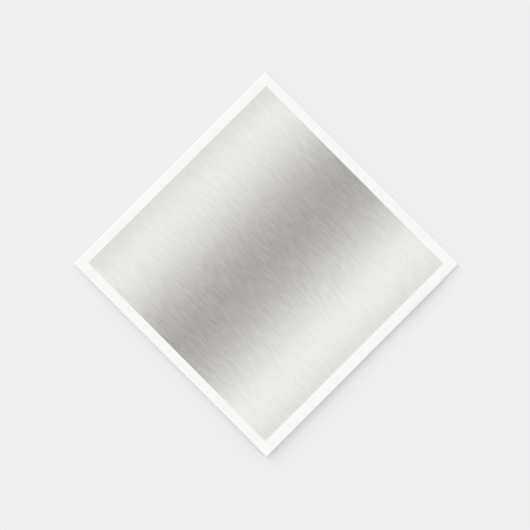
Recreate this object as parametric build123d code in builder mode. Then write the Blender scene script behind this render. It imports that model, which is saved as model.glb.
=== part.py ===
from build123d import *
import os

# A printed three-ply paper napkin, folded twice into a square quarter.
#
# The sheet lies in four layers, one above the other. The first fold doubled the open sheet along X, and the
# last fold doubled that strip along Y, so the bottom and the top layer are the outside of the folded napkin.
# The folded square stands on Z = 0 with its middle at the origin. The first fold is along the +X edge and the
# last fold is along the +Y edge, and the -X and -Y edges are open.

# Driving dimensions, in millimetres
FOLDED_SIDE = 125.0  # side of the folded square, measured over its folds
PLY_THICKNESS = 0.12  # one ply of tissue with its embossed loft
LAYER_GAP = 0.06  # air between two folded layers

# The plies of the sheet, from the printed side to the plain side
PLIES = ("face_ply", "middle_ply", "inside_ply")

# The quarters of the sheet from the bottom layer to the top one, and whether the printed side faces up there
LAYERS = (
    ("back_panel", False),
    ("lower_inside_panel", True),
    ("upper_inside_panel", False),
    ("front_panel", True),
)

# The four creases: the edge that each lies along, and the lower and the upper layer that it joins
CREASES = (
    ("first_fold_lower", "X", 0, 1),
    ("first_fold_upper", "X", 2, 3),
    ("last_fold_inner", "Y", 1, 2),
    ("last_fold_outer", "Y", 0, 3),
)

# Sizes that follow from them
layer_thickness = len(PLIES) * PLY_THICKNESS
layer_pitch = layer_thickness + LAYER_GAP
stack_height = (len(LAYERS) - 1) * layer_pitch + layer_thickness


def plies_upwards(face_up):
    """The plies of a layer in the order they lie, from its underside to its top."""
    return PLIES[::-1] if face_up else PLIES


def crease_axis_height(lower, upper):
    """A crease turns about the line half way between the two layers that it joins."""
    return (lower + upper) / 2 * layer_pitch + layer_thickness / 2


def crease_inner_radius(lower, upper):
    """Inside radius of the bend: half of the clear height between its two layers."""
    return (upper - lower) / 2 * layer_pitch - layer_thickness / 2


# A crease's bend stands past its fold line by the bend's outside radius, and the widest bend touches the
# edge of the folded square, so the fold lines lie inside the square by that much
bulge = {"X": 0.0, "Y": 0.0}
for _, edge, lower, upper in CREASES:
    bulge[edge] = max(bulge[edge], crease_inner_radius(lower, upper) + layer_thickness)

half_side = FOLDED_SIDE / 2
panel_length_x = FOLDED_SIDE - bulge["X"]
panel_length_y = FOLDED_SIDE - bulge["Y"]
first_fold_x = half_side - bulge["X"]
last_fold_y = half_side - bulge["Y"]

os.makedirs("parts", exist_ok=True)


# Panels: the flat quarter of each ply, cut at the two fold lines
for level, (panel_name, face_up) in enumerate(LAYERS):
    for step, ply_name in enumerate(plies_upwards(face_up)):
        underside = level * layer_pitch + step * PLY_THICKNESS
        with BuildPart() as panel_ply:
            with BuildSketch(Plane.XY.offset(underside)):
                with Locations((-half_side, -half_side)):
                    Rectangle(panel_length_x, panel_length_y, align=(Align.MIN, Align.MIN))
            extrude(amount=PLY_THICKNESS)
        panel_ply.part.label = f"{panel_name}_{ply_name}"
        export_step(panel_ply.part, f"parts/{panel_ply.part.label}.step")

# Creases: the half-round bend of each ply, from one panel's cut edge round to the next one's
for crease_name, edge, lower, upper in CREASES:
    axis_height = crease_axis_height(lower, upper)
    if edge == "X":
        bend_plane = Plane(origin=(first_fold_x, -half_side, axis_height), x_dir=(1, 0, 0), z_dir=(0, 1, 0))
        bend_length = panel_length_y
    else:
        bend_plane = Plane(origin=(-half_side, last_fold_y, axis_height), x_dir=(0, 1, 0), z_dir=(1, 0, 0))
        bend_length = panel_length_x
    # the ply on top of the lower layer is the one nearest to the axis
    lower_face_up = LAYERS[lower][1]
    for step, ply_name in enumerate(plies_upwards(lower_face_up)[::-1]):
        inside_radius = crease_inner_radius(lower, upper) + step * PLY_THICKNESS
        outside_radius = inside_radius + PLY_THICKNESS
        with BuildPart() as bend_ply:
            with BuildSketch(bend_plane):
                Circle(outside_radius)
                Circle(inside_radius, mode=Mode.SUBTRACT)
                Rectangle(
                    outside_radius, 2 * outside_radius, align=(Align.MAX, Align.CENTER), mode=Mode.SUBTRACT
                )
            extrude(amount=bend_length)
        bend_ply.part.label = f"{crease_name}_{ply_name}"
        export_step(bend_ply.part, f"parts/{bend_ply.part.label}.step")

# What the record repeats: the size of the folded napkin, and where each crease turns
print(f"folded: {FOLDED_SIDE:.2f} x {FOLDED_SIDE:.2f} x {stack_height:.2f} mm")
for crease_name, edge, lower, upper in CREASES:
    fold_line = first_fold_x if edge == "X" else last_fold_y
    axis_height = crease_axis_height(lower, upper)
    print(f"{crease_name}: {edge} = {fold_line:.3f} mm, turns about Z = {axis_height:.3f} mm")
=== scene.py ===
# %% [markdown]
# # A printed paper napkin, folded into a square quarter
#
# This napkin is one square sheet of three tissue plies, folded twice. Its front quarter is printed to look
# like brushed metal, inside a plain white margin. The lesson builds it as the real one is built: twelve
# quarter panels, one for each ply of each folded layer, and the rounded creases that join them.
#
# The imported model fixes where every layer, ply and crease lies and how the folds turn. Blender adds what
# rigid plates can't show: the loft of loose tissue, the ragged cut edges, the fibres and the ink.

import math

import bmesh
import bpy
import numpy as np
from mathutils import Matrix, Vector


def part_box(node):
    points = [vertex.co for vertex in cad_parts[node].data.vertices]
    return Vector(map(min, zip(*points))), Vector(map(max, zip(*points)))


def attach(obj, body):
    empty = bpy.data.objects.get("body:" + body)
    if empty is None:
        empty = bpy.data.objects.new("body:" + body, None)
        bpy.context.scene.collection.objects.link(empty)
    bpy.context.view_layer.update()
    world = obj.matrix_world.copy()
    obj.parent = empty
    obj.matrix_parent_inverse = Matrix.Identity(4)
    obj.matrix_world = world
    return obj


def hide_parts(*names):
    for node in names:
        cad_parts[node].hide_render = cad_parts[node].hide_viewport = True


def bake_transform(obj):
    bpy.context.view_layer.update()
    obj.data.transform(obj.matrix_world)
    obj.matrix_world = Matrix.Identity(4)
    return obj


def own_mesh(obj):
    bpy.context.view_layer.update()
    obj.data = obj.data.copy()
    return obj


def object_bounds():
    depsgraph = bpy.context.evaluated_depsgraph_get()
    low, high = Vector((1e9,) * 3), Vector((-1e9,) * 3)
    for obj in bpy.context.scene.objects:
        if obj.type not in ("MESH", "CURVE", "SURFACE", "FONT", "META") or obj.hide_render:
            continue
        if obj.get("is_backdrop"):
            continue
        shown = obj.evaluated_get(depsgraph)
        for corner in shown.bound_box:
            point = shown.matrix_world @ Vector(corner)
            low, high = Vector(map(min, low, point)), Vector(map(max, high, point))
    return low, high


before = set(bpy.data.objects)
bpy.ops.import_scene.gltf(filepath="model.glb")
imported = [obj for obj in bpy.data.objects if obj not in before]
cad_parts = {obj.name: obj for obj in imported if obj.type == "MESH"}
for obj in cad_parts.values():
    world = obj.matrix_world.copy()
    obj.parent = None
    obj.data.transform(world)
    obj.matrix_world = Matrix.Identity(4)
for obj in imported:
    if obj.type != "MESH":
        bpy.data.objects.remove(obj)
cad_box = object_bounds()

# %% [markdown]
# ## Where things lie
#
# The napkin's main sizes come from the frame, so a change in the model moves the looks with it. The panels
# give the two fold lines and the two open edges. The crease bends give the height of the line that each fold
# turns about.

# %% Names and sizes read from the frame
MM = 0.001
PLIES = ("face_ply", "middle_ply", "inside_ply")
PANELS = ("back_panel", "lower_inside_panel", "upper_inside_panel", "front_panel")
TOP_LEVEL = len(PANELS) - 1

panel_low, panel_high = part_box("front_panel_face_ply")
OPEN_X, OPEN_Y = panel_low.x, panel_low.y
FIRST_FOLD_X, LAST_FOLD_Y = panel_high.x, panel_high.y
PLY_PITCH = panel_high.z - panel_low.z
STACK_TOP = panel_high.z

# a visible ply is a hair thinner than its pitch, so that the plies show as separate sheets at the cut edges
PLY_GAP = 0.01 * MM


def ply_heights(node):
    """The underside and the top of a visible ply, from the CAD ply that it stands for."""
    low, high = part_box(node)
    return low.z + PLY_GAP / 2, high.z - PLY_GAP / 2


print(f"fold lines at x {FIRST_FOLD_X / MM:.2f} and y {LAST_FOLD_Y / MM:.2f} mm")
print(f"the stack is {STACK_TOP / MM:.2f} mm high")

# %% [markdown]
# ## The camera
#
# The napkin is seen from straight above with its closed corner pointing up the picture, so the camera looks
# down the Z axis and is turned by an eighth of a turn. A long lens keeps the square's sides straight and
# parallel.

# %% Camera
SENSOR = 36.0
LENS = 120.0
PICTURE_WIDTH = 244.15 * MM  # how much of the table the picture takes in
LOOK_RIGHT = -0.40 * MM  # where the picture's middle is, from the napkin's middle
LOOK_UP = -0.60 * MM
TURN = math.radians(-45.08)
SEES_UP_TO = 10.0  # metres from the camera

camera = bpy.data.objects.new("camera", bpy.data.cameras.new("camera"))
bpy.context.scene.collection.objects.link(camera)
bpy.context.scene.camera = camera
camera.data.sensor_width = SENSOR
camera.data.lens = LENS
camera.data.clip_end = SEES_UP_TO
camera_height = PICTURE_WIDTH * LENS / SENSOR
picture_right = Vector((math.cos(TURN), math.sin(TURN), 0))
picture_up = Vector((-math.sin(TURN), math.cos(TURN), 0))
camera.location = LOOK_RIGHT * picture_right + LOOK_UP * picture_up
camera.location.z = camera_height
camera.rotation_euler = (0, 0, TURN)
print(f"camera {camera_height:.2f} m above the napkin")

# %% [markdown]
# ## Floor and sky
#
# A plain pale table and soft light show thin white paper best. Most of the light is an even sky. It has the
# brightness that the lit floor has, so low views have no hard horizon.

# %% Floor and sky
FLOOR_SIDE = 40.0
FLOOR_COLOR = (0.860, 0.860, 0.860, 1)
SKY_BRIGHTNESS = 0.871


def new_material(name):
    """A material, its node tree, and the Principled BSDF in it."""
    material = bpy.data.materials.new(name)
    material.use_nodes = True
    return material, material.node_tree, material.node_tree.nodes["Principled BSDF"]


def make_floor():
    mesh = bpy.data.meshes.new("table_top")
    half = FLOOR_SIDE / 2
    corners = [(-half, -half, 0), (half, -half, 0), (half, half, 0), (-half, half, 0)]
    mesh.from_pydata(corners, [], [(0, 1, 2, 3)])
    floor = bpy.data.objects.new("table_top", mesh)
    bpy.context.scene.collection.objects.link(floor)
    material, _, shader = new_material("pale_table")
    shader.inputs["Base Color"].default_value = FLOOR_COLOR
    shader.inputs["Roughness"].default_value = 1.0
    shader.inputs["Specular IOR Level"].default_value = 0.0
    mesh.materials.append(material)
    floor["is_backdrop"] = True
    return floor


def make_sky():
    world = bpy.data.worlds.new("even_sky")
    bpy.context.scene.world = world
    world.use_nodes = True
    sky = world.node_tree.nodes["Background"]
    sky.inputs["Color"].default_value = (1, 1, 1, 1)
    sky.inputs["Strength"].default_value = SKY_BRIGHTNESS


floor = make_floor()
make_sky()
bpy.context.scene.view_settings.view_transform = "Standard"
print("floor and sky are in place")

# %% [markdown]
# ## The window
#
# The rest of the light comes from a tall window beyond the last fold. Three sun lamps, one above another,
# stand for its panes. A sun lamp's light is the same all over the table, and its angle sets how softly a
# shadow ends. An area lamp could do it too, but its light would fade across the table. Here the panes join
# up, so the shadow of the stack's edge fades over several times its height.

# %% Window panes
PANE_STRENGTH = 0.25
WINDOW_BEARING = math.radians(10)  # from straight beyond the last fold, towards the first fold
# how high each pane stands above the table and how wide it is, in degrees
PANES = (("low_pane", 21, 12), ("middle_pane", 36, 18), ("high_pane", 57, 26))


def make_pane(name, height, width):
    light = bpy.data.lights.new(name, "SUN")
    light.energy = PANE_STRENGTH
    light.angle = math.radians(width)
    lamp = bpy.data.objects.new(name, light)
    bpy.context.scene.collection.objects.link(lamp)
    climb = math.radians(height)
    level = math.cos(climb)
    towards = Vector((math.sin(WINDOW_BEARING) * level, math.cos(WINDOW_BEARING) * level, math.sin(climb)))
    lamp.rotation_mode = "QUATERNION"
    lamp.rotation_quaternion = towards.to_track_quat("Z", "Y")


for name, height, width in PANES:
    make_pane(name, height, width)
print("window panes:", len(PANES))

# %% [markdown]
# ## Tissue: one shader group for every ply
#
# Tissue is a mat of short fibres with fine crepe ripples across it. From close by it is never even: thicker
# and thinner patches give a faint cloudiness. Every ply shares this, so it is one node group with two
# outputs, a height for the Bump node and a cloudiness for the colour.
#
# The group reads the UV map named flat_sheet, which holds each point's place on the open sheet in metres. The
# fibres then run on over the creases and stay with the paper when a fold opens.

# %% Helpers for node groups
FLAT_MAP = "flat_sheet"


def new_group(name, outputs):
    """A shader node group that takes a place on the open sheet and puts out plain numbers."""
    group = bpy.data.node_groups.new(name, "ShaderNodeTree")
    group.interface.new_socket("Vector", in_out="INPUT", socket_type="NodeSocketVector")
    for socket in outputs:
        group.interface.new_socket(socket, in_out="OUTPUT", socket_type="NodeSocketFloat")
    return group, group.nodes.new("NodeGroupInput"), group.nodes.new("NodeGroupOutput")


def feed(tree, value, socket):
    """Link a socket to the socket that is given, or set it to the plain value that is given."""
    if isinstance(value, bpy.types.NodeSocket):
        tree.links.new(value, socket)
    else:
        socket.default_value = value


def math_node(tree, operation, first, second=None, clamp=False):
    node = tree.nodes.new("ShaderNodeMath")
    node.operation = operation
    node.use_clamp = clamp
    feed(tree, first, node.inputs[0])
    if second is not None:
        feed(tree, second, node.inputs[1])
    return node.outputs[0]


def noise_node(tree, vector, grains, detail, roughness, turn=0.0):
    """Noise with about so many grains to the metre along each axis, after turning by an angle."""
    mapping = tree.nodes.new("ShaderNodeMapping")
    mapping.vector_type = "TEXTURE"
    mapping.inputs["Rotation"].default_value = (0, 0, turn)
    mapping.inputs["Scale"].default_value = tuple(1 / per_metre for per_metre in grains)
    noise = tree.nodes.new("ShaderNodeTexNoise")
    noise.inputs["Scale"].default_value = 1.0
    noise.inputs["Detail"].default_value = detail
    noise.inputs["Roughness"].default_value = roughness
    tree.links.new(vector, mapping.inputs["Vector"])
    tree.links.new(mapping.outputs["Vector"], noise.inputs["Vector"])
    return noise.outputs["Fac"]


# %% The tissue group
NOISE_MIDDLE = 0.5  # what a noise swings about
FIBRE_GRAINS = (420.0, 2600.0, 2600.0)  # per metre, first along a fibre and then across it
FIBRE_TURNS = (0.35, 1.40, 2.50)  # the three main directions that fibres lie in, in radians
CREPE_GRAINS = (1500.0, 1500.0 / 7, 1500.0)  # a ripple is seven times as long as it is wide
CREPE_SHARE = 0.35  # height of a ripple, as a share of a fibre's
CLOUD_GRAINS = (190.0, 190.0, 190.0)


def make_tissue_group():
    group, given, result = new_group("tissue", ("Height", "Cloud"))
    place = given.outputs["Vector"]
    fibres = None
    for turn in FIBRE_TURNS:
        strand = noise_node(group, place, FIBRE_GRAINS, detail=3.0, roughness=0.6, turn=turn)
        fibres = strand if fibres is None else math_node(group, "MAXIMUM", fibres, strand)
    crepe = noise_node(group, place, CREPE_GRAINS, detail=1.0, roughness=0.4)
    ripples = math_node(group, "MULTIPLY", crepe, CREPE_SHARE)
    group.links.new(math_node(group, "ADD", fibres, ripples), result.inputs["Height"])
    cloud = noise_node(group, place, CLOUD_GRAINS, detail=4.0, roughness=0.65)
    group.links.new(cloud, result.inputs["Cloud"])
    return group


tissue_group = make_tissue_group()
print("tissue group:", len(tissue_group.nodes), "nodes")

# %% [markdown]
# ## White tissue
#
# The unprinted paper is a slightly warm white and quite matt. Its material puts the tissue group to work: the
# cloudiness lightens and darkens the white a little, and the height goes to a Bump node. Modelling the fibres
# themselves would take many times the faces of the whole napkin.

# %% White tissue
PAPER_WHITE = (0.922, 0.919, 0.901)
PAPER_ROUGHNESS = 0.95
PAPER_SPECULAR = 0.15
CLOUD_DEPTH = 0.055  # how much the cloudiness changes the colour
FIBRE_RELIEF = 0.070 * MM


def scaled_color(tree, color, factor):
    """A colour, the same all over or varying, times a varying factor."""
    node = tree.nodes.new("ShaderNodeVectorMath")
    node.operation = "SCALE"
    feed(tree, color, node.inputs[0])
    feed(tree, factor, node.inputs["Scale"])
    return node.outputs[0]


def tissue_nodes(tree):
    """What a tissue material starts from: the place on the sheet, the height and the cloudiness there."""
    flat_map = tree.nodes.new("ShaderNodeUVMap")
    flat_map.uv_map = FLAT_MAP
    tissue = tree.nodes.new("ShaderNodeGroup")
    tissue.node_tree = tissue_group
    tree.links.new(flat_map.outputs["UV"], tissue.inputs["Vector"])
    return flat_map.outputs["UV"], tissue.outputs["Height"], tissue.outputs["Cloud"]


def cloud_factor(tree, cloud):
    """The cloudiness as a factor around 1."""
    centred = math_node(tree, "SUBTRACT", cloud, NOISE_MIDDLE)
    return math_node(tree, "ADD", math_node(tree, "MULTIPLY", centred, 2 * CLOUD_DEPTH), 1.0)


def add_relief(tree, shader, height, depth):
    """Give the shader the relief of a height, where a height of 1 stands up by the depth."""
    bump = tree.nodes.new("ShaderNodeBump")
    bump.inputs["Strength"].default_value = 1.0
    bump.inputs["Distance"].default_value = depth
    tree.links.new(height, bump.inputs["Height"])
    tree.links.new(bump.outputs["Normal"], shader.inputs["Normal"])


def new_paper(name):
    """A material with paper's lack of shine, its node tree and its shader."""
    material, tree, shader = new_material(name)
    shader.inputs["Roughness"].default_value = PAPER_ROUGHNESS
    shader.inputs["Specular IOR Level"].default_value = PAPER_SPECULAR
    return material, tree, shader


def make_even_tissue(name, color, relief):
    """Tissue that nothing has crushed or printed: one colour with its cloudiness and its fibres."""
    material, tree, shader = new_paper(name)
    _, height, cloud = tissue_nodes(tree)
    tree.links.new(scaled_color(tree, color, cloud_factor(tree, cloud)), shader.inputs["Base Color"])
    add_relief(tree, shader, height, relief)
    return material


white_tissue = make_even_tissue("white_tissue", PAPER_WHITE, FIBRE_RELIEF)
print("white tissue is made")

# %% [markdown]
# ## The line that a fold leaves
#
# Where tissue was folded, its fibres are crushed, and the open sheet shows a faint broken line with the paper
# bent a little on both sides of it. The line is painted darker in the colour, partly for the crushed fibres
# and partly as painted shade in the crease. Both come from the distance to the fold lines on the flat sheet,
# so no picture of them is needed.
#
# Seen from the inside, the first fold is a valley all the way. The last fold is a valley on one half of the
# sheet and a ridge on the other, because the sheet was already doubled when it was made. From the printed
# side it is the other way round, so the two sides have their own materials. The plies that show on the
# outside of the folded napkin are drawn tight over its creases and have no such line.

# %% The crease group
CREASE_HALF_WIDTH = 0.5 * MM  # of a crease's bend on the flat sheet
CREASE_FADE = 0.9 * MM
BEND_REACH = 3.0 * MM  # how far from a fold line the opened paper is still bent


def make_crease_group():
    """Line is 1 on a fold line and fades out beside it. Bend is the height of the paper bent along it."""
    group, given, result = new_group("creases", ("Line", "Bend"))
    split = group.nodes.new("ShaderNodeSeparateXYZ")
    group.links.new(given.outputs["Vector"], split.inputs[0])
    from_first_fold = math_node(group, "ABSOLUTE", split.outputs["X"])
    from_last_fold = math_node(group, "ABSOLUTE", split.outputs["Y"])

    nearer = math_node(group, "MINIMUM", from_first_fold, from_last_fold)
    past = math_node(group, "SUBTRACT", nearer, CREASE_HALF_WIDTH)
    line = math_node(group, "SUBTRACT", 1.0, math_node(group, "DIVIDE", past, CREASE_FADE), clamp=True)
    group.links.new(line, result.inputs["Line"])

    first, last = (
        math_node(group, "SUBTRACT", 1.0, math_node(group, "DIVIDE", distance, BEND_REACH), clamp=True)
        for distance in (from_first_fold, from_last_fold)
    )
    side = math_node(group, "SIGN", split.outputs["X"])
    bend = math_node(group, "SUBTRACT", math_node(group, "MULTIPLY", last, side), first)
    group.links.new(bend, result.inputs["Bend"])
    return group


crease_group = make_crease_group()
print("groups:", [group.name for group in bpy.data.node_groups])

# %% Folded tissue
CREASE_SHADE_DEPTH = 0.22  # how much darker the crease line is painted: crushed fibres and painted shade
CREASE_SHADE_EVENNESS = 0.2  # how much of the line shows even where the cloudiness leaves it out
BEND_RELIEF = 0.16 * MM


def make_folded_tissue(name, bend_relief):
    material, tree, shader = new_paper(name)
    place, height, cloud = tissue_nodes(tree)
    crease = tree.nodes.new("ShaderNodeGroup")
    crease.node_tree = crease_group
    tree.links.new(place, crease.inputs["Vector"])
    # painted shade: the colour is darkened along the fold lines, partly for crushed fibres and partly for the
    # shade in the crease
    showing = math_node(tree, "ADD", cloud, CREASE_SHADE_EVENNESS)
    broken = math_node(tree, "MULTIPLY", crease.outputs["Line"], showing)
    darker = math_node(tree, "SUBTRACT", 1.0, math_node(tree, "MULTIPLY", broken, CREASE_SHADE_DEPTH))
    factor = math_node(tree, "MULTIPLY", cloud_factor(tree, cloud), darker)
    tree.links.new(scaled_color(tree, PAPER_WHITE, factor), shader.inputs["Base Color"])
    bent = math_node(tree, "MULTIPLY", crease.outputs["Bend"], bend_relief / FIBRE_RELIEF)
    add_relief(tree, shader, math_node(tree, "ADD", height, bent), FIBRE_RELIEF)
    return material


def plain_tissue(ply, outer):
    """The unprinted tissue of a ply. outer tells if its layer is on the outside of the folded napkin."""
    if ply == "inside_ply":
        return folded_inside
    return white_tissue if outer else folded_face


folded_inside = make_folded_tissue("folded_tissue_inside", BEND_RELIEF)
folded_face = make_folded_tissue("folded_tissue_face", -BEND_RELIEF)
print("folded tissue is made, for the inside and for the printed side")

# %% [markdown]
# ## The cut edge
#
# Where a ply was cut, the ends of its fibres stand out in a soft fuzz. A fuzz catches less light than a flat
# face, so the cut edge has its own tissue, painted slightly darker as painted shade, with deeper relief.

# %% Cut tissue
# painted shade: the cut edge's white is darker than the paper's, for the shade in its fuzz
CUT_SHADED_WHITE = (0.870, 0.870, 0.850)
CUT_RELIEF = 0.08 * MM

cut_tissue = make_even_tissue("cut_tissue", CUT_SHADED_WHITE, CUT_RELIEF)
print("cut tissue is made")

# %% [markdown]
# ## The printed front
#
# The front quarter is printed to look like brushed metal, all but a plain margin. Such a print has one broad
# gleam on each side of a darker middle, and fine scratches that run across the gleams. On paper all of this
# is ink: it changes the colour and not the shine, so the napkin stays matt.
#
# The gleams are a colour ramp along the print, from the last fold to the cut edge. The scratches are noise
# drawn out along one direction, and they show more where there is more ink. The print's outline is a mask on
# the same flat map, its edge loosened a little by the uneven paper that the ink soaks into.

# %% The print's place on the flat sheet
MARGIN_OPEN_X = 4.80 * MM  # plain paper beside each edge of the folded square
MARGIN_FIRST_FOLD = 4.71 * MM
MARGIN_OPEN_Y = 5.23 * MM
MARGIN_LAST_FOLD = 4.64 * MM
PRINT_TURN = math.radians(0.22)  # a sheet never runs quite square through the press

square_low, square_high = cad_box
print_low_x, print_high_x = square_low.x + MARGIN_OPEN_X, square_high.x - MARGIN_FIRST_FOLD
print_low_y, print_high_y = square_low.y + MARGIN_OPEN_Y, square_high.y - MARGIN_LAST_FOLD

# on the flat sheet the front quarter lies at negative X and positive Y from the middle of the open sheet
print_middle_s = (print_low_x + print_high_x) / 2 - FIRST_FOLD_X - CREASE_HALF_WIDTH
print_middle_t = LAST_FOLD_Y - (print_low_y + print_high_y) / 2 + CREASE_HALF_WIDTH
print_half_s = (print_high_x - print_low_x) / 2
print_half_t = (print_high_y - print_low_y) / 2
print(f"print {2 * print_half_s / MM:.1f} x {2 * print_half_t / MM:.1f} mm")

# %% The ink's tone
ARTWORK_SIDE = 120 * MM  # the picture runs on a little under the plain margins
INK_GAMMA = 2.2
INK_STOPS = (  # share of the way from the last fold to the cut edge, and the ink's brightness there
    (0.000, (0.714, 0.706, 0.692)),
    (0.129, (0.800, 0.799, 0.784)),
    (0.494, (0.408, 0.397, 0.388)),
    (0.865, (0.824, 0.824, 0.808)),
    (1.000, (0.722, 0.720, 0.706)),
)


def make_ink_ramp(tree, along):
    """The ink's tone along the print, blended evenly to the eye and then turned into real brightness."""
    ramp = tree.nodes.new("ShaderNodeValToRGB")
    ramp.color_ramp.interpolation = "EASE"
    while len(ramp.color_ramp.elements) < len(INK_STOPS):
        ramp.color_ramp.elements.new(0.5)
    for element, (place, color) in zip(ramp.color_ramp.elements, INK_STOPS):
        element.position = place
        element.color = (*(channel ** (1 / INK_GAMMA) for channel in color), 1)
    tree.links.new(along, ramp.inputs["Fac"])
    gamma = tree.nodes.new("ShaderNodeGamma")
    gamma.inputs["Gamma"].default_value = INK_GAMMA
    tree.links.new(ramp.outputs["Color"], gamma.inputs["Color"])
    return gamma.outputs["Color"]


print("ink tones along the print:", len(INK_STOPS))

# %% Scratches
SCRATCH_GRAINS = (600.0, 90.0, 600.0)  # per metre, across a broad scratch and along it
HAIRLINE_GRAINS = (1300.0, 170.0, 1300.0)
HAIRLINE_SHARE = 0.40
SCRATCH_DEPTH = 1.00
SCRATCH_HOLD = 1.05  # a scratch is as strong as this, less the brightness of the ink it lies in


def scratched_ink(tree, spot, tone):
    """The ink's tone with the scratches in it, which lighten it and darken it by turns."""
    broad = noise_node(tree, spot, SCRATCH_GRAINS, detail=2.0, roughness=0.8)
    hairlines = noise_node(tree, spot, HAIRLINE_GRAINS, detail=1.0, roughness=0.5)
    broad_part = math_node(tree, "MULTIPLY", broad, 1 - HAIRLINE_SHARE)
    hairline_part = math_node(tree, "MULTIPLY", hairlines, HAIRLINE_SHARE)
    scratches = math_node(tree, "ADD", broad_part, hairline_part)
    brightness = tree.nodes.new("ShaderNodeRGBToBW")
    tree.links.new(tone, brightness.inputs["Color"])
    hold = math_node(tree, "SUBTRACT", SCRATCH_HOLD, brightness.outputs["Val"])
    centred = math_node(tree, "SUBTRACT", scratches, NOISE_MIDDLE)
    swing = math_node(tree, "MULTIPLY", math_node(tree, "MULTIPLY", centred, SCRATCH_DEPTH), hold)
    return scaled_color(tree, tone, math_node(tree, "ADD", swing, 1.0))


# %% Printed tissue
INK_BLEED = 0.25 * MM


def inside_print(tree, offset, half, soaking):
    """1 inside the print along one direction and 0 outside, with an edge as wide as the ink bleeds."""
    inward = math_node(tree, "SUBTRACT", half, math_node(tree, "ABSOLUTE", offset))
    steps = math_node(tree, "DIVIDE", inward, INK_BLEED)
    return math_node(tree, "ADD", steps, soaking, clamp=True)


def make_printed_tissue():
    material, tree, shader = new_paper("printed_tissue")
    place, height, cloud = tissue_nodes(tree)
    on_print = tree.nodes.new("ShaderNodeMapping")
    on_print.vector_type = "TEXTURE"
    on_print.inputs["Location"].default_value = (print_middle_s, print_middle_t, 0)
    on_print.inputs["Rotation"].default_value = (0, 0, PRINT_TURN)
    tree.links.new(place, on_print.inputs["Vector"])
    spot = on_print.outputs["Vector"]
    split = tree.nodes.new("ShaderNodeSeparateXYZ")
    tree.links.new(spot, split.inputs[0])
    offset_s, offset_t = split.outputs["X"], split.outputs["Y"]

    along = math_node(tree, "ADD", math_node(tree, "DIVIDE", offset_t, ARTWORK_SIDE), 0.5)
    ink = scratched_ink(tree, spot, make_ink_ramp(tree, along))
    covered_s = inside_print(tree, offset_s, print_half_s, cloud)
    covered_t = inside_print(tree, offset_t, print_half_t, cloud)
    printed = tree.nodes.new("ShaderNodeMix")
    printed.data_type = "RGBA"
    tree.links.new(math_node(tree, "MULTIPLY", covered_s, covered_t), printed.inputs["Factor"])
    tree.links.new(scaled_color(tree, PAPER_WHITE, cloud_factor(tree, cloud)), printed.inputs["A"])
    tree.links.new(ink, printed.inputs["B"])
    tree.links.new(printed.outputs["Result"], shader.inputs["Base Color"])
    add_relief(tree, shader, height, FIBRE_RELIEF)
    return material


printed_tissue = make_printed_tissue()
print("printed tissue is made")

# %% [markdown]
# ## A thin closed sheet
#
# Every ply of every panel and crease is the same kind of mesh: two grids of points, an underside and a top,
# and a narrow rim that joins them all round. bmesh builds it face by face, so that the rim can have its own
# material and sharp edges, and each corner of a face can carry its place on the open sheet.

# %% Build one sheet with bmesh
TOP, UNDERSIDE, RIM = 0, 1, 2


def closed_sheet(name, top, underside, place, materials):
    """A closed thin mesh from two grids of points. place is the grid of their places on the open sheet."""
    rows, columns = place.shape[:2]
    build = bmesh.new()
    flat_map = build.loops.layers.uv.new(FLAT_MAP)
    sides = [[[build.verts.new(point) for point in row] for row in grid] for grid in (top, underside)]

    def add_face(corners, material_index):
        face = build.faces.new([sides[side][i][j] for side, i, j in corners])
        face.smooth = True
        face.material_index = material_index
        for loop, (_, i, j) in zip(face.loops, corners):
            loop[flat_map].uv = place[i, j]

    for i in range(rows - 1):
        for j in range(columns - 1):
            around = [(i, j), (i + 1, j), (i + 1, j + 1), (i, j + 1)]
            for side in (TOP, UNDERSIDE):
                add_face([(side, *corner) for corner in around], side)
    border = [(i, 0) for i in range(rows - 1)]
    border += [(rows - 1, j) for j in range(columns - 1)]
    border += [(i, columns - 1) for i in range(rows - 1, 0, -1)]
    border += [(0, j) for j in range(columns - 1, 0, -1)]
    for here, there in zip(border, border[1:] + border[:1]):
        add_face([(TOP, *here), (TOP, *there), (UNDERSIDE, *there), (UNDERSIDE, *here)], RIM)
    bmesh.ops.recalc_face_normals(build, faces=build.faces)
    for edge in build.edges:
        one, other = edge.link_faces
        edge.smooth = (one.material_index == RIM) == (other.material_index == RIM)

    mesh = bpy.data.meshes.new(name)
    build.to_mesh(mesh)
    build.free()
    for material in materials:
        mesh.materials.append(material)
    piece = bpy.data.objects.new(name, mesh)
    bpy.context.scene.collection.objects.link(piece)
    return piece


# %% [markdown]
# ## How loose paper lies
#
# Pressed along its folds, a napkin is only as thick as its plies, but the loose paper between them springs
# up. Each layer rises a little more than the one under it, most of all towards the open corner, so the layers
# stay clear of each other. Slow waves run through all the layers together, and each layer above the bottom
# one adds a faint wave of its own. Right at the folds nothing is raised, which is where the creases join on.
#
# This could be a cloth simulation. A few smooth functions are used instead, because the folds have to stay
# exactly on the lines that the frame's joints turn about.

# %% Smooth steps and waves
def smooth_rise(distance, reach):
    """0 up to no distance, 1 from the reach on, and level at both ends."""
    share = np.clip(distance / reach, 0, 1)
    return share * share * (3 - 2 * share)


def make_waves(seed, shortest, longest, count=6):
    """A smooth surface of crossing waves with heights from -1 to 1, as a function of two coordinates."""
    random = np.random.default_rng(seed)
    lengths = random.uniform(shortest, longest, count)
    bearings = random.uniform(0, math.pi, count)
    starts = random.uniform(0, 2 * math.pi, count)

    def height(across, along):
        total = 0.0
        for length, bearing, start in zip(lengths, bearings, starts):
            way = across * math.cos(bearing) + along * math.sin(bearing)
            total = total + np.sin(2 * math.pi * way / length + start)
        return total / count

    return height


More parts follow.
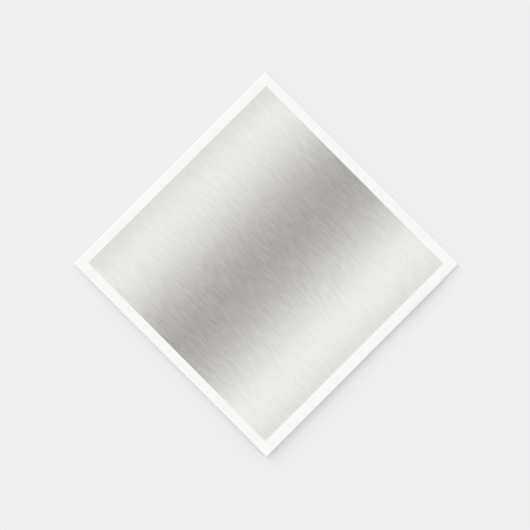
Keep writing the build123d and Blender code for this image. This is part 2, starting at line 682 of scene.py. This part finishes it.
# %% The loft of the layers
LOFT = 1.00 * MM  # rise of the front panel over a pressed one
LOFT_REACH = 20 * MM  # from a fold to where the loft is whole
HELD_FLATTER = 0.6  # share of the loft that is missing at the end of the last fold
CORNER_LIFT = 0.35 * MM  # further rise at the open corner
CORNER_START = 75 * MM
CORNER_REACH = 50 * MM
SHARED_WAVE = 0.35 * MM
OWN_WAVE = 0.06 * MM
PLY_SPREAD = 0.04 * MM  # air between the plies at a cut edge
CRINKLE = 0.05 * MM  # height of the crinkles along a cut edge
EDGE_BAND = 6 * MM  # how far in from a cut edge the plies still stand apart

shared_waves = make_waves(seed=11, shortest=35 * MM, longest=90 * MM)
every_level = range(len(PANELS))
own_waves = [make_waves(seed=20 + level, shortest=18 * MM, longest=40 * MM) for level in every_level]
crinkles = [make_waves(seed=30 + level, shortest=9 * MM, longest=16 * MM) for level in every_level]
panel_reach_x = FIRST_FOLD_X - OPEN_X
panel_reach_y = LAST_FOLD_Y - OPEN_Y


def layer_rise(level, step, u, v):
    """Rise of one ply at the distances u and v from the folds. step counts a layer's plies upwards."""
    free = smooth_rise(u, LOFT_REACH) * smooth_rise(v, LOFT_REACH)
    corner = smooth_rise(u - CORNER_START, CORNER_REACH) * smooth_rise(v - CORNER_START, CORNER_REACH)
    past_x, past_y = u - panel_reach_x, v - panel_reach_y
    near_edge = np.maximum(np.exp(past_x / EDGE_BAND), np.exp(past_y / EDGE_BAND))
    held = 1 - HELD_FLATTER * (u / panel_reach_x) * (1 - (v / panel_reach_y) ** 2)
    share = level / TOP_LEVEL
    rise = share * (LOFT * held + SHARED_WAVE * shared_waves(u, v) + CORNER_LIFT * corner)
    rise = rise + (OWN_WAVE * own_waves[level](u, v) if level else 0.0)
    rise = rise + near_edge * (step * PLY_SPREAD + CRINKLE * (1 + crinkles[level](u, v)) / 2)
    return free * rise


print(f"loft of the front panel {LOFT / MM:.2f} mm, and {CORNER_LIFT / MM:.2f} mm more at the open corner")

# %% [markdown]
# ## The panels
#
# Each panel ply is a quarter of the open sheet. Its place on that sheet decides which way the fibres run on
# over the creases, and how far its cut edges lie inside the napkin's outline. Folding never lays the edges
# quite flush. They agree at each fold, where the paper is one, and drift apart away from it, so the inset is
# worked out along the sheet's edge and not panel by panel.

# %% Cut edges
# which side of the open sheet's two fold lines each panel is on
SHEET_SIDE_S = {"back_panel": -1, "lower_inside_panel": 1, "upper_inside_panel": 1, "front_panel": -1}
SHEET_SIDE_T = {"back_panel": -1, "lower_inside_panel": -1, "upper_inside_panel": 1, "front_panel": 1}
LONG_INSET_X, LONG_INSET_Y = 0.14 * MM, -0.16 * MM  # of the sheet's longer half, at each open edge
SHORT_INSET_X, SHORT_INSET_Y = 0.36 * MM, 0.20 * MM
INSET_DRIFT = 0.10 * MM
PLY_INSET = 0.03 * MM
EDGE_WOBBLE = 0.04 * MM

edge_waves = {
    ply: make_waves(seed=50 + step, shortest=7 * MM, longest=30 * MM) for step, ply in enumerate(PLIES)
}


def cut_inset(ply, inset, along, towards_front):
    """How far a cut edge lies inside the outline. towards_front is 1 at the front panel's end of the edge."""
    wobble = EDGE_WOBBLE * edge_waves[ply](along, inset)
    return inset - INSET_DRIFT * towards_front + PLIES.index(ply) * PLY_INSET + wobble


def inset_at_open_x(ply, side_s, t):
    return cut_inset(ply, LONG_INSET_X if side_s < 0 else SHORT_INSET_X, t, t / panel_reach_y)


def inset_at_open_y(ply, side_t, s):
    return cut_inset(ply, LONG_INSET_Y if side_t > 0 else SHORT_INSET_Y, s, -s / panel_reach_x)


print(f"the cut edges lie about {LONG_INSET_Y / MM:.2f} to {SHORT_INSET_X / MM:.2f} mm inside the outline")

# %% [markdown]
# ## Panels that a fold would press flat
#
# Paper is loose only while it is folded. A piece can be squashed by one joint only. FLATTENED_BY names, for
# three panels, the one fold that would otherwise press its loft into the table or into the back panel. These
# panels' plies get meshes of their own.

# %% Make the panels
FLATTENED_BY = {
    "lower_inside_panel": "first_fold",
    "upper_inside_panel": "last_fold",
    "front_panel": "first_fold",
}
PANEL_CELLS = 72
SPACING_EASE = 0.5  # how much closer the grid lines stand near the folds and the cut edges

even_shares = np.linspace(0, 1, PANEL_CELLS + 1)
grid_shares = even_shares - SPACING_EASE * np.sin(2 * math.pi * even_shares) / (2 * math.pi)


def panel_distances(ply, side_s, side_t):
    """Grids of the distances from the two fold lines, out to the ply's own cut edges, and of the places."""
    u, v = np.meshgrid(grid_shares * panel_reach_x, grid_shares * panel_reach_y, indexing="ij")
    place_s, place_t = side_s * (u + CREASE_HALF_WIDTH), side_t * (v + CREASE_HALF_WIDTH)
    reach_u = 1 - inset_at_open_x(ply, side_s, place_t) / panel_reach_x
    reach_v = 1 - inset_at_open_y(ply, side_t, place_s) / panel_reach_y
    return u * reach_u, v * reach_v, np.stack([place_s, place_t], axis=-1)


def make_panel_ply(panel, ply):
    node = f"{panel}_{ply}"
    level, side_s, side_t = PANELS.index(panel), SHEET_SIDE_S[panel], SHEET_SIDE_T[panel]
    face_up = side_s * side_t < 0
    step = PLIES[::-1].index(ply) if face_up else PLIES.index(ply)
    low, high = ply_heights(node)
    u, v, place = panel_distances(ply, side_s, side_t)
    rise = layer_rise(level, step, u, v)
    x, y = FIRST_FOLD_X - u, LAST_FOLD_Y - v
    top = np.stack([x, y, high + rise], axis=-1)
    underside = np.stack([x, y, low + rise], axis=-1)
    tissue = plain_tissue(ply, outer=side_s < 0)
    upper = printed_tissue if node == "front_panel_face_ply" else tissue
    piece = closed_sheet(f"{node}_tissue", top, underside, place, (upper, tissue, cut_tissue))
    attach(piece, panel)
    if panel in FLATTENED_BY:
        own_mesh(piece)
    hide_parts(node)
    return piece


panel_plies = {(panel, ply): make_panel_ply(panel, ply) for panel in PANELS for ply in PLIES}
faces = len(panel_plies["front_panel", "face_ply"].data.polygons)
print("panel plies:", len(panel_plies), "with", faces, "faces each")

# %% [markdown]
# ## The creases
#
# A crease is the narrow strip of each ply that turns from one panel into the next, so its section is half a
# ring. One function makes a strip of any crease, from its section and its run along the fold, and puffs it
# out a little where it was pressed less.

# %% Bends
BEND_CELLS = 16
CREASE_PUFF = 0.05 * MM  # how unevenly a pressed crease bulges
FIRST_FOLD_LEVELS = {"first_fold_lower": (0, 1), "first_fold_upper": (2, 3)}
LAST_FOLD_LEVELS = {"last_fold_inner": (1, 2), "last_fold_outer": (0, 3)}

puff_waves = make_waves(seed=70, shortest=8 * MM, longest=40 * MM)


def bend_section(node):
    """Height of the line that a crease turns about, and the radii of its visible ply."""
    low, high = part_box(node)
    outer = (high.z - low.z) / 2
    return (high.z + low.z) / 2, outer - PLY_PITCH + PLY_GAP / 2, outer - PLY_GAP / 2


def bend_strip(name, node, ply, levels, turn_share, along_first_fold, start=0.0):
    """A stretch of a crease's ply, between two shares of its half turn from the lower panel to the upper."""
    lower, upper = (PANELS[level] for level in levels)
    axis_height, inner, outer = bend_section(node)
    first, last = turn_share
    cells = round(BEND_CELLS * (last - first))
    shares = np.linspace(first, last, cells + 1)
    if along_first_fold:
        sides, side_across = (SHEET_SIDE_S[lower], SHEET_SIDE_S[upper]), SHEET_SIDE_T[lower]
        reach, inset = panel_reach_y, inset_at_open_y
    else:
        sides, side_across = (SHEET_SIDE_T[lower], SHEET_SIDE_T[upper]), SHEET_SIDE_S[lower]
        reach, inset = panel_reach_x, inset_at_open_x
    distances = grid_shares * reach
    distances[0] = start
    share, distance = np.meshgrid(shares, distances, indexing="ij")
    across = CREASE_HALF_WIDTH * (sides[0] * (1 - share) + sides[1] * share)
    distance = distance * (1 - inset(ply, side_across, across) / reach)
    angle = math.pi * (share - 0.5)
    puff = CREASE_PUFF * (1 + puff_waves(distance, levels[0] * reach)) / 2
    puff = puff * np.cos(angle) ** 2
    grids = []
    for radius in (outer, inner):
        out = (radius + puff) * np.cos(angle)
        height = axis_height + radius * np.sin(angle)
        if along_first_fold:
            grids.append(np.stack([FIRST_FOLD_X + out, LAST_FOLD_Y - distance, height], axis=-1))
        else:
            grids.append(np.stack([FIRST_FOLD_X - distance, LAST_FOLD_Y + out, height], axis=-1))
    beyond = side_across * (distance + CREASE_HALF_WIDTH)
    place = np.stack([across, beyond] if along_first_fold else [beyond, across], axis=-1)
    tissue = plain_tissue(ply, outer=0 in levels or TOP_LEVEL in levels)
    piece = closed_sheet(name, *grids, place, (tissue, tissue, cut_tissue))
    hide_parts(node)
    return piece


# %% Creases made in one piece
def make_bending_crease(crease, ply):
    along_first_fold = crease in FIRST_FOLD_LEVELS
    levels = FIRST_FOLD_LEVELS[crease] if along_first_fold else LAST_FOLD_LEVELS[crease]
    node = f"{crease}_{ply}"
    piece = bend_strip(f"{node}_tissue", node, ply, levels, (0.0, 1.0), along_first_fold)
    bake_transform(piece)
    return piece


bending = ("first_fold_lower", "first_fold_upper", "last_fold_inner")
crease_plies = {(crease, ply): make_bending_crease(crease, ply) for crease in bending for ply in PLIES}
print("bending crease plies:", len(crease_plies))

# %% [markdown]
# ## The outer crease of the last fold
#
# This crease is different. It wraps round the other layers, and its two panels aren't neighbours in the
# frame's chain of joints. Each ply's half ring is made as two lips, one on the back panel and one on the
# front panel. They meet while the napkin is shut. A lip is a quarter of a ring, so it climbs away from its
# panel at a slant of 45 degrees.

# %% Lips of the outer crease
CORNER_TUCK = 0.30 * MM  # how far the lips run on past the first fold line, at the closed corner

# the panel that a lip is on, its share of the half turn, and whether it climbs or drops from there
LIP_SIDES = {
    "lower": ("back_panel", (0.0, 0.5), 1),
    "upper": ("front_panel", (0.5, 1.0), -1),
}


def make_lip(ply, side):
    panel, turn_share, climb = LIP_SIDES[side]
    node = f"last_fold_outer_{ply}"
    levels = LAST_FOLD_LEVELS["last_fold_outer"]
    piece = bend_strip(f"{node}_{side}_lip", node, ply, levels, turn_share, False, -CORNER_TUCK)
    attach(piece, panel)
    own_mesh(piece)
    return piece


lips = {(LIP_SIDES[side][0], ply): make_lip(ply, side) for side in LIP_SIDES for ply in PLIES}
print("lips:", len(lips))

# %% [markdown]
# ## What each sheet was cut from
#
# Each panel ply is a sheet, with the flat size of its quarter. The creases are too narrow to be
# sheets of their own, so the loop below gathers each crease ply with a panel ply that it belongs to.

CREASES_OF_PANEL = {
    "back_panel": ("first_fold_lower",),
    "lower_inside_panel": ("last_fold_inner",),
    "upper_inside_panel": (),
    "front_panel": ("first_fold_upper",),
}

for (panel, ply), piece in panel_plies.items():
    joined = [crease_plies[crease, ply] for crease in CREASES_OF_PANEL[panel]]
    joined += [lips[panel, ply]] if (panel, ply) in lips else []
print(f"sheets: {len(panel_plies)}, each cut {panel_reach_x / MM:.1f} x {panel_reach_y / MM:.1f} mm")

# %% [markdown]
# ## Sizes
#
# The visible napkin may stand a little proud of the imported model, because its paper is loose. Both boxes are
# printed side by side, so that they can be compared.

# %% Print both boxes and finish
visible_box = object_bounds()
for name, (low, high) in (("packed", cad_box), ("visible", visible_box)):
    print(f"{name} size:", ", ".join(f"{(high[i] - low[i]) / MM:.2f}" for i in range(3)), "mm")
